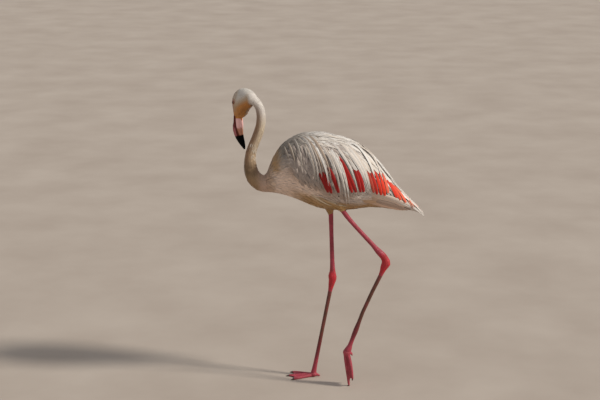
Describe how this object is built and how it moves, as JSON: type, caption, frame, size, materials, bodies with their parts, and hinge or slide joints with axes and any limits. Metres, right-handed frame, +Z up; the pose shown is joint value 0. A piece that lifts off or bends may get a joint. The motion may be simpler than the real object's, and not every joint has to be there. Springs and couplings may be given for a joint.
{
  "type": "flamingo figure",
  "caption": "Life-size still greater flamingo standing on a straight leg, the other bent and trailing, wings folded, neck raised and bill hanging down.",
  "frame": {"origin": "on the floor, at the middle of the figure's length and width", "axes": "the bird faces -X, its left side is on -Y, and +Z is up"},
  "size_m": [0.5966, 0.1934, 0.9455],
  "materials": {
    "plumage": "soft, matt contour feathers, creamy white with tan shading",
    "flight_feather": "smooth folded wing feathers, white strands over coral red coverts",
    "bill_pink": "smooth horny pink bill with a black tip",
    "bill_upper": "smooth dark rose upper bill with a black tip",
    "eyeball": "wet, glossy, pale yellow iris with a dark pupil",
    "bare_skin": "scaly crimson-pink leg skin, muddy in places",
    "horn": "dark horn claws"
  },
  "bodies": {
    "root": {"trunk": "plumage", "tail": "plumage", "wing_left": "flight_feather", "wing_right": "flight_feather", "neck_lower": "plumage", "neck_middle": "plumage", "neck_upper": "plumage", "head": "plumage", "eye_left": "eyeball", "eye_right": "eyeball", "bill_upper": "bill_upper", "bill_lower": "bill_pink", "thigh_left": "plumage", "thigh_right": "plumage", "shank_left": "bare_skin", "shank_right": "bare_skin", "ankle_left": "bare_skin", "ankle_right": "bare_skin", "tarsus_left": "bare_skin", "tarsus_right": "bare_skin", "foot_left": "bare_skin", "foot_right": "bare_skin", "claw_inner_left": "horn", "claw_middle_left": "horn", "claw_outer_left": "horn", "claw_inner_right": "horn", "claw_middle_right": "horn", "claw_outer_right": "horn"}
  },
  "joints": []
}
